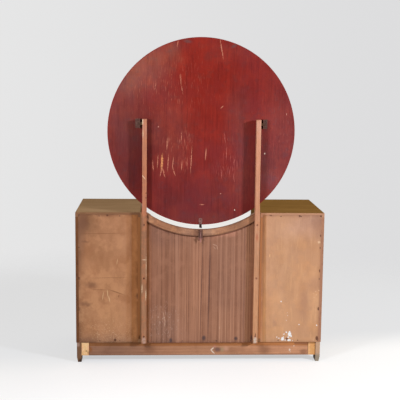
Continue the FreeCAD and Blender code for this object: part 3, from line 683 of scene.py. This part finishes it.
LEFT_BACK_TINTS = [
    ((0.9, 0.89, 0.92), -375, 690, 90, 70), ((1.1, 1.06, 0.98), -545, 430, 70, 170),
    ((0.94, 0.98, 1.18), -530, 690, 70, 60), ((0.83, 0.84, 0.9), -572, 700, 26, 34),
    ((1.1, 1.13, 1.18), -450, 650, 60, 40), ((0.9, 0.89, 0.88), -350, 157, 30, 50),
]
LEFT_BACK_FAINT_TINTS = [((1.24, 1.24, 1.14), -440, 190, 160, 120)]
LEFT_STAINS = [
    (-567, 689, 29, 27), (-576, 670, 19, 70), (-513, 292, 26, 90), (-564, 390, 27, 32), (-368, 194, 8, 19),
]
LEFT_PALE_CHIP = [(-338, 531, 2.2, 8)]
LEFT_PALE_SPOTS = [
    (-577, 598, 6.4, 5.9), (-583, 358, 3.7, 2.1), (-567, 352, 2.7, 2.1), (-557, 342, 2.1, 1.6),
    (-560, 322, 2.7, 2.1), (-571, 336, 3.2, 1.6),
]
WHITE_PAINT = [
    (-444, 137, 8.0, 11.2), (-410, 114, 6.9, 9.1), (-442, 108, 9.6, 4.8), (-428, 147, 3.7, 3.7),
    (-382, 123, 2.7, 2.1), (-392, 118, 3.2, 2.7), (-417, 138, 2.7, 3.7), (-452, 128, 3.2, 5.9),
    (-398, 303, 2.9, 2.7), (-577, 182, 2.7, 3.7), (-491, 186, 2.4, 2.4), (-445, 151, 3.0, 2.6),
    (-438, 122, 3.8, 3.8), (-415, 124, 2.6, 2.6), (-423, 108, 3.2, 2.6), (-460, 104, 1.9, 1.9),
    (-430, 246, 1.4, 1.8), (-432, 232, 1.3, 1.5), (-427, 207, 1.5, 1.8),
]
LEFT_NAIL_STAINS = [
    (-339, 731, 6, 6), (-479, 729, 4, 8), (-584, 729, 6, 6), (-587, 630, 6, 6), (-585, 456, 4, 8),
    (-585, 266, 6, 8), (-580, 117, 7, 11), (-431, 114, 5, 6),
]
LEFT_BACK = {
    **PLY, "pale": (220, 168, 130), "dark": (192, 140, 104), "edge": (164, 114, 88), "shift": 3,
    "layers": [
        clouds((196, 148, 118), share=0.5, size=0.15),
        clouds((224, 164, 116), share=0.25, size=0.08, shift=9.0),
        flecks((232, 184, 140), share=0.2, width=0.01, length=0.09, passage=(0.56, 0.7), shift=2.0),
        tints(LEFT_BACK_TINTS),
        tints(LEFT_BACK_FAINT_TINTS, share=0.7),
        # Painted shadow: the post's cast shadow beside it recoloured, and widened by a darker painted strip
        # that leans
        fade((1.02, 0.97, 0.93), {"X": (-320, -285)}, soft=1.5),
        fade((0.82, 0.8, 0.7), {"X": (-331, -313)}, soft=2.0, lean=0.02),
        spots((168, 122, 102), LEFT_STAINS, share=0.35, soft=0.8, shake=0.035, shake_size=0.03),
        spots((240, 190, 140), LEFT_PALE_CHIP, share=0.8),
        spots((236, 194, 154), LEFT_PALE_SPOTS, share=0.85),
        spots((255, 252, 248), WHITE_PAINT, soft=0.3, shake=0.008),
        spots((98, 60, 48), LEFT_NAIL_STAINS, share=0.85),
    ],
}


# Streaked back of the centre, and the curved rail along its top
CENTRE_TINTS = [((1.25, 1.25, 1.18), -128, 165, 80, 90)]
# Faint tints of tone, one of them painted shade under the rail near one post
CENTRE_FAINT_TINTS_AND_RAIL_SHADE = [
    ((0.84, 0.78, 0.72), 190, 400, 90, 300), ((1.1, 1.25, 1.4), 190, 170, 70, 70),
    ((0.66, 0.67, 0.76), 190, 632, 80, 50), ((1.15, 1.1, 1.0), 30, 330, 60, 260),
    ((1.1, 1.1, 1.1), -25, 330, 50, 230),
]
CENTRE_SMALL_TINTS = [((0.84, 0.82, 0.78), 224, 155, 26, 70), ((1.15, 1.16, 1.15), 152, 340, 30, 60)]
# Painted light: a paler place in the shadow line under the rail
UNDER_RAIL_PAINTED_LIGHT = [((1.42, 1.36, 1.4), -122, 639, 55, 14, 14)]
CENTRE_ROUGH = [(180, 190, 80, 100)]
CENTRE_LONG_STREAKS = [(-45, 382, 3.7, 245, -1), (-8, 379, 1.9, 242, -1)]
CENTRE_SCRATCHES = [
    (-69, 585, 1.6, 11, 68), (-81, 573, 1.6, 11, 12), (-69, 570, 1.3, 8, 45), (173, 227, 1.6, 25, 9),
    (169, 197, 1.6, 17, -7), (-98, 173, 2.1, 6, 6),
]
CENTRE_NAIL_STAINS = [(140, 110, 7, 11), (-22, 121, 9, 12), (-179, 118, 8, 9), (-258, 120, 6, 16)]
CENTRE_BACK = {
    "pale": (186, 134, 108), "dark": (132, 88, 68), "shift": 5, "streak": 0.013, "run": 2.5,
    "contrast": 1.0, "patches": 0.3, "pores": 0.3, "edge": (110, 76, 62), "edge_width": 0.02, "shine": 0.08,
    "layers": [
        flecks((112, 74, 60), share=0.5, width=0.0035, length=1.5, passage=(0.53, 0.62)),
        flecks((200, 150, 124), share=0.4, width=0.003, length=1.2, passage=(0.55, 0.65)),
        tints(CENTRE_TINTS),
        tints(CENTRE_FAINT_TINTS_AND_RAIL_SHADE, share=0.7),
        clouds((176, 124, 98), share=0.35, size=0.08),
        tints(CENTRE_SMALL_TINTS),
        # Painted shade browner in one post's cast shadow, painted light beside it, and painted light in the
        # other post's shadow
        fade((0.95, 0.82, 0.58), {"X": (246, 262)}, soft=2.0),
        fade((1.15, 1.12, 1.05), {"X": (234, 246)}, soft=2.0),
        fade((1.42, 1.4, 1.25), {"X": (-264, -222)}, soft=2.0),
        flecks((210, 180, 164), share=0.5, width=0.003, length=0.012, within=CENTRE_ROUGH),
        spots((92, 62, 56), CENTRE_LONG_STREAKS, share=0.7, soft=0.6),
        spots((206, 166, 142), CENTRE_SCRATCHES, share=0.7),
        # Painted shadow: a dark line under the rail, with a painted lighter place and a darker painted end
        ring((92, 46, 32), reach=501.5, width=5, share=0.5),
        tints(UNDER_RAIL_PAINTED_LIGHT),
        spots((64, 28, 18), [(-230, 682, 3, 26, -61)], share=0.8, soft=0.5),
        spots((74, 62, 66), CENTRE_NAIL_STAINS, share=0.8, soft=0.6),
    ],
}
ARC_TINTS = [
    ((0.72, 0.73, 0.73), -165, 674, 42, 40), ((1.18, 1.18, 1.2), -122, 663, 50, 30),
    ((1.12, 1.26, 1.4), -45, 647, 26, 30), ((1.22, 1.3, 1.38), 72, 650, 30, 30),
    ((1.18, 1.3, 1.36), 243, 710, 22, 26), ((1.1, 1.08, 1.12), 205, 693, 40, 26),
]
# Faint tints of tone, one of them a painted shadow of the catch bolt on the rail
ARC_FAINT_TINTS_AND_BOLT_SHADOW = [((0.8, 0.82, 0.9), 30, 640, 60, 30), ((0.82, 0.78, 0.72), 190, 690, 90, 50)]
ARC = {
    "pale": (188, 134, 102), "dark": (138, 94, 70), "along": "x", "streak": 0.006, "run": 0.1, "shift": 8,
    "edge_share": 0.0, "place_of": round_the_arc, "shine": 0.08,
    "layers": [
        clouds((202, 142, 102), share=0.5, size=0.025),
        clouds((128, 90, 74), share=0.4, size=0.02, passage=(0.54, 0.66), shift=1.0),
        tints(ARC_TINTS),
        tints(ARC_FAINT_TINTS_AND_BOLT_SHADOW, share=0.7),
        spots((70, 44, 34), [(255, 724, 4, 12, 20)], share=0.7, soft=0.6),
        # Painted shadow beside the catch bolt
        spots((108, 74, 62), [(26, 645, 12, 14)], share=0.5, soft=0.8),
        # A dark line along the upper edge, and painted shade along the lower edge where the rail's shadow
        # line is
        ring((96, 66, 50), reach=466, width=3, share=0.4),
        ring((100, 66, 52), reach=497.5, width=3, share=0.7),
    ],
}


# Mirror posts
POST = {"streak": 0.006, "run": 0.25, "contrast": 0.8, "edge": (140, 86, 64), "edge_width": 0.003,
        "rough": 0.7, "shine": 0.08}

RIGHT_POST_TINTS = [((0.87, 0.87, 0.9), 271, 640, 60, 110), ((1.1, 1.12, 1.12), 271, 210, 60, 120)]
RIGHT_POST_FAINT_TINTS = [((1.1, 1.25, 1.5), 271, 1165, 40, 50)]
RIGHT_POST_CHIPS = [
    (279, 1179, 2.8, 14, 2), (274, 916, 1.8, 13, 39), (277, 1120, 1.4, 16), (270, 517, 1.4, 10, -90),
]
RIGHT_POST_RUBS = [(260.5, 481, 1.2, 60), (280, 375, 2.2, 20, -2), (262, 344, 2.4, 24, -2)]
RIGHT_POST_HOLES = [(281, 887, 2.5, 6), (281, 869, 2.2, 4), (262, 839, 2.5, 3), (262, 817, 2.5, 4)]
RIGHT_POST = {
    **POST, "pale": (202, 134, 104), "dark": (164, 102, 76), "shift": 6,
    "layers": [
        tints(RIGHT_POST_TINTS),
        tints(RIGHT_POST_FAINT_TINTS, share=0.7),
        # Darker and less red below the top of the case
        fade((0.77, 0.93, 0.89), {"Z": (95, 730)}, soft=20.0),
        clouds((196, 122, 82), share=0.4, size=0.03),
        spots((240, 210, 174), RIGHT_POST_CHIPS, share=0.8, soft=0.5, behind=POST_BACK),
        spots((232, 200, 164), RIGHT_POST_RUBS, share=0.75, soft=0.5, gaps=0.005, behind=POST_BACK),
        spots((206, 172, 158), [(271, 117, 9, 15)], share=0.6, soft=0.5, gaps=0.006, behind=POST_BACK),
        spots((92, 50, 40), RIGHT_POST_HOLES, share=0.75, behind=POST_BACK),
    ],
}
LEFT_POST_TINTS = [
    ((0.97, 1.07, 0.96), -271, 330, 60, 360), ((0.88, 0.9, 0.9), -271, 600, 60, 150),
    ((1.1, 1.12, 1.06), -271, 210, 60, 120),
]
LEFT_POST_FAINT_TINTS = [((1.05, 1.2, 1.4), -271, 1165, 40, 40)]
LEFT_POST = {
    **POST, "pale": (232, 166, 134), "dark": (196, 132, 102), "shift": 7,
    "layers": [
        tints(LEFT_POST_TINTS),
        tints(LEFT_POST_FAINT_TINTS, share=0.7),
        clouds((208, 140, 98), share=0.35, size=0.03),
        spots((186, 100, 76), [(-270, 629, 5, 16)], share=0.6, soft=0.8, behind=POST_BACK),
        spots((150, 84, 60), [(-258, 765, 3, 8)], share=0.7, behind=POST_BACK),
        spots((222, 200, 182), [(-270, 119, 9, 18)], share=0.85, soft=0.5, gaps=0.006, behind=POST_BACK),
        spots((110, 78, 60), [(-260, 116, 2.5, 17)], share=0.8, soft=0.5, behind=POST_BACK),
        spots((120, 84, 62), [(-273, 143, 2.2, 11, 8)], share=0.8, behind=POST_BACK),
    ],
}


# Base
BACK_EDGE = {"Y": (CASE_BACK * MM - 3, CASE_BACK * MM + 8)}
BASE = {"along": "x", "streak": 0.008, "run": 0.4, "contrast": 0.8, "edge": (92, 60, 44), "shine": 0.1}
FOOT = {**BASE, "along": "y", "pale": (134, 96, 66), "dark": (98, 66, 46)}

RAIL_TINTS = [((0.52, 0.54, 0.62), 440, 60, 170, 60), ((1.3, 1.3, 1.3), -420, 62, 170, 60)]
RAIL_STAINS = [(242, 64, 24, 19), (-321, 58, 27, 21), (-515, 47, 16, 11)]
RAIL_PALE_MARKS = [
    (-64, 63, 3.5, 10, -48), (-67, 48, 2.8, 13, 46), (-447, 57, 4.3, 5.9), (-468, 77, 2.7, 3.2),
    (-450, 47, 2.1, 2.1),
]
BACK_RAIL = {
    **BASE, "pale": (208, 150, 113), "dark": (164, 115, 87), "shift": 9,
    "layers": [
        clouds((170, 116, 86), share=0.4, size=0.05),
        tints(RAIL_TINTS),
        spots((128, 84, 60), RAIL_STAINS, share=0.5, soft=0.7),
        spots((200, 140, 128), [(-77, 76, 6, 8)], share=0.6, soft=0.7),
        spots((180, 154, 118), [(-113, 60, 9, 12)], share=0.6, soft=0.7),
        spots((220, 166, 138), [(-132, 64, 12, 11)], share=0.6, soft=0.8),
        spots((118, 88, 82), [(-90, 60, 14, 11)], share=0.8, soft=0.6, shake=0.01),
        spots((146, 84, 42), [(531, 62, 8, 13)], share=0.7, soft=0.7, shake=0.01),
        spots((240, 216, 196), RAIL_PALE_MARKS, share=0.9),
        # A brown strip along the top, darker at one end and paler in the middle, where painted light
        # cancels the shade under the overhanging centre panel
        fade((0.82, 0.67, 0.45), {"Z": (79, 99)}, soft=1.5),
        fade((1.85, 1.85, 2.0), {"Z": (90, 99), "X": (-258, 258)}, soft=2.0),
        fade((0.66, 0.68, 0.85), {"Z": (84, 99), "X": (-545, -470)}, soft=3.0),
    ],
}
RIGHT_FOOT = {
    **FOOT, "shift": 11,
    "layers": [
        band((126, 91, 67), BACK_EDGE),
        spots((176, 142, 126), [(591, 88, 8, 10)], share=0.7, soft=0.6),
        # Painted shade at the bottom of the foot
        spots((52, 40, 32), [(580, 3, 9, 13)], share=0.85, soft=0.6),
    ],
}
LEFT_FOOT = {
    **FOOT, "shift": 12,
    "layers": [
        band((197, 165, 138), BACK_EDGE),
        fade((1.22, 1.12, 1.03), {"Z": (40, 97)}, soft=6.0),
        fade((0.72, 0.85, 0.9), {"Z": (-10, 32)}, soft=6.0),
    ],
}
END_BLOCKS = {
    "pale": (255, 213, 160), "dark": (242, 186, 128), "shift": 13, "streak": 0.004, "edge": (206, 150, 96),
    "edge_share": 0.3, "shine": 0.08,
    "layers": [
        clouds((255, 224, 172), share=0.5, size=0.015),
        # The left block is browner, but for its inner edge
        fade((0.84, 0.65, 0.48), {"X": (-600, 0)}),
        fade((1.1, 1.2, 1.4), {"X": (-549, -538)}, soft=1.5),
        # Painted highlights along the right block's rounded edges
        spots((250, 188, 150), [(573, 66, 4, 14), (542, 72, 4, 12)], share=0.6, soft=0.7),
        spots((176, 116, 72), [(541, 44, 5, 11, 20)], share=0.7, soft=0.7),
        spots((110, 80, 40), [(552, 54, 2.5, 4)], share=0.8),
        # Painted shade along the top of the left block, under the overhang of the case
        fade((0.62, 0.6, 0.62), {"Z": (88, 99), "X": (-580, -535)}, soft=2.0),
    ],
}


# Veneered sides, tops, shelf and drawer fronts, with bare edges at the back of the case
VENEER = {"pale": (150, 116, 70), "dark": (100, 70, 36), "streak": 0.016, "run": 0.9, "contrast": 0.8,
          "patches": 0.6, "pores": 0.25, "edge": (80, 52, 28), "edge_width": 0.004, "rough": 0.45,
          "shine": 0.1, "coat": 0.1}
TOP = {**VENEER, "along": "x", "shine": 0.0, "coat": 0.0, "rough": 0.7, "edge_share": 0.3}
INNER = {**VENEER, "shine": 0.0, "coat": 0.0, "rough": 0.75}
# The drawer fronts have the grain of the side they are on
RIGHT_GRAIN = 14
LEFT_GRAIN = 15

RIGHT_OUTER_SIDE = {
    **VENEER, "shift": RIGHT_GRAIN,
    "layers": [
        band((110, 67, 43), BACK_EDGE),
        flecks((84, 50, 38), share=0.6, width=0.006, length=0.03, passage=(0.52, 0.62)),
    ],
}
LEFT_OUTER_SIDE = {
    **VENEER, "shift": LEFT_GRAIN,
    "layers": [
        band((186, 133, 105), BACK_EDGE),
        flecks((150, 100, 78), share=0.5, width=0.006, length=0.03, passage=(0.54, 0.64)),
    ],
}
RIGHT_TOP = {
    **TOP, "pale": (172, 141, 108), "dark": (147, 117, 86), "shift": 16,
    "layers": [
        band((134, 92, 66), BACK_EDGE),
        spots((84, 58, 40), [(563, 737, 14, 7)], share=0.21, soft=0.8, behind=CASE_BACK),
    ],
}
LEFT_TOP = {
    **TOP, "pale": (148, 111, 61), "dark": (124, 90, 46), "shift": 17,
    "layers": [band((200, 148, 118), BACK_EDGE)],
}
RIGHT_INNER_SIDE = {
    **INNER, "shift": 19,
    "layers": [
        band((176, 115, 72), BACK_EDGE),
        spots((60, 36, 26), [(293, 122, 4, 12)], share=0.7, soft=0.6),
    ],
}
LEFT_INNER_SIDE = {**INNER, "shift": 20, "layers": [band((200, 138, 94), BACK_EDGE)]}


# Plain wood inside the case and the drawers
CARCASS = {"pale": (182, 136, 96), "dark": (140, 98, 66), "edge": (104, 70, 46)}
DRAWER_WOOD = {"pale": (212, 178, 132), "dark": (176, 140, 98), "along": "y", "streak": 0.008,
               "edge_share": 0.3}


# Metal parts, some of them worn bright, dark or painted in places
WORN_BELOW = fade((1.8, 1.7, 1.8), {"Z": (560, 620)}, soft=4.0)
DARK_ON_THE_RIGHT = fade((0.4, 0.4, 0.42), {"X": (0, 600)})
DARK_KEEPER_FOOT = band((40, 28, 24), {"Z": (660, 684)}, soft=2.0)
PAINTED_BACK = band((140, 50, 43), {"Y": (215, 225)}, share=1.0)

KNOB_BRASS = {"colour": (150, 116, 62), "worn": (196, 160, 96), "metallic": 0.85, "rough": 0.4}
BRACKET_BRONZE = {"colour": (100, 66, 58), "worn": (126, 92, 80)}
PLATE_BRONZE = {"colour": (112, 74, 64), "worn": (138, 98, 84), "layers": [WORN_BELOW]}
BOLT_BRONZE = {"colour": (140, 98, 90), "worn": (168, 126, 116), "layers": [WORN_BELOW]}
KEEPER_BRONZE = {"colour": (134, 90, 84), "worn": (160, 114, 106), "layers": [DARK_KEEPER_FOOT]}
PIVOT_BRONZE = {"colour": (92, 70, 46), "worn": (126, 102, 70)}
IRON = {"colour": (78, 52, 42), "worn": (116, 80, 64)}
RUSTY_IRON = {"colour": (140, 84, 64), "worn": (170, 108, 84), "metallic": 0.0, "shine": 0.1,
              "layers": [DARK_ON_THE_RIGHT]}
DARK_RIM = {"colour": (62, 38, 30), "worn": (84, 54, 42), "metallic": 0.0, "rough": 0.6, "shine": 0.0,
            "layers": [PAINTED_BACK]}


# Which node has which look
WOOD_LOOKS = {
    "mirror_backboard": BOARD,
    "right_back_panel": RIGHT_BACK,
    "left_back_panel": LEFT_BACK,
    "centre_back_panel": CENTRE_BACK,
    "right_mirror_post": RIGHT_POST,
    "left_mirror_post": LEFT_POST,
    "arc_rail": ARC,
    "base_back_rail": BACK_RAIL,
    "base_front_rail": {**BASE, "pale": (150, 108, 72), "dark": (110, 74, 48), "shift": 10},
    "right_foot_board": RIGHT_FOOT,
    "left_foot_board": LEFT_FOOT,
    "rail_end_blocks": END_BLOCKS,
    "right_outer_side": RIGHT_OUTER_SIDE,
    "left_outer_side": LEFT_OUTER_SIDE,
    "right_top": RIGHT_TOP,
    "left_top": LEFT_TOP,
    "centre_shelf": {**VENEER, "along": "x", "shift": 18},
    "right_inner_side": RIGHT_INNER_SIDE,
    "left_inner_side": LEFT_INNER_SIDE,
    "bottom_board": {**CARCASS, "along": "x", "shift": 21},
    "back_stiles": {**CARCASS, "shift": 22},
    "shelf_cleats": {**CARCASS, "along": "y", "shift": 23},
    "drawer_bearers": {**CARCASS, "along": "y", "shift": 24},
}
BRONZE_LOOKS = {
    "left_tilt_bracket": BRACKET_BRONZE,
    "right_tilt_bracket": BRACKET_BRONZE,
    "bolt_plate": PLATE_BRONZE,
    "catch_bolt": BOLT_BRONZE,
    "catch_keeper": KEEPER_BRONZE,
    "pivot_bolts": PIVOT_BRONZE,
    "pivot_bushes": PIVOT_BRONZE,
}
IRON_LOOKS = {
    "panel_nails": IRON,
    "mirror_screws": IRON,
    "bolt_plate_screws": IRON,
    "post_screws": RUSTY_IRON,
}


def dress(node, material):
    """Give every material slot of a CAD node one material."""
    for slot in nodes[node].material_slots:
        slot.material = material


def dress_wood():
    for node, look in WOOD_LOOKS.items():
        dress(node, wood(node, **look))
    for count, node in enumerate(sorted(nodes)):
        if node.endswith("_drawer_front"):
            grain = RIGHT_GRAIN if node.startswith("right") else LEFT_GRAIN
            dress(node, wood(node, **VENEER, shift=grain))
        if node.endswith(("_drawer_box", "_drawer_bottom")):
            dress(node, wood(node, **DRAWER_WOOD, shift=count))


def dress_metal():
    for node in nodes:
        if node.endswith("_drawer_knob"):
            dress(node, metal(f"{node}_brass", **KNOB_BRASS))
    for node, look in BRONZE_LOOKS.items():
        dress(node, metal(f"{node}_bronze", **look))
    for node, look in IRON_LOOKS.items():
        dress(node, metal(f"{node}_iron", **look))
    dress("mirror_rim", metal("dark_rim", **DARK_RIM))


make_camera()
make_world()
make_floor()
make_lamps()
dress_wood()
dress_metal()
dress("mirror_glass", silvered_glass())
for softened in SOFT_NODES:
    soften(softened)
bpy.context.scene.view_settings.view_transform = "Standard"
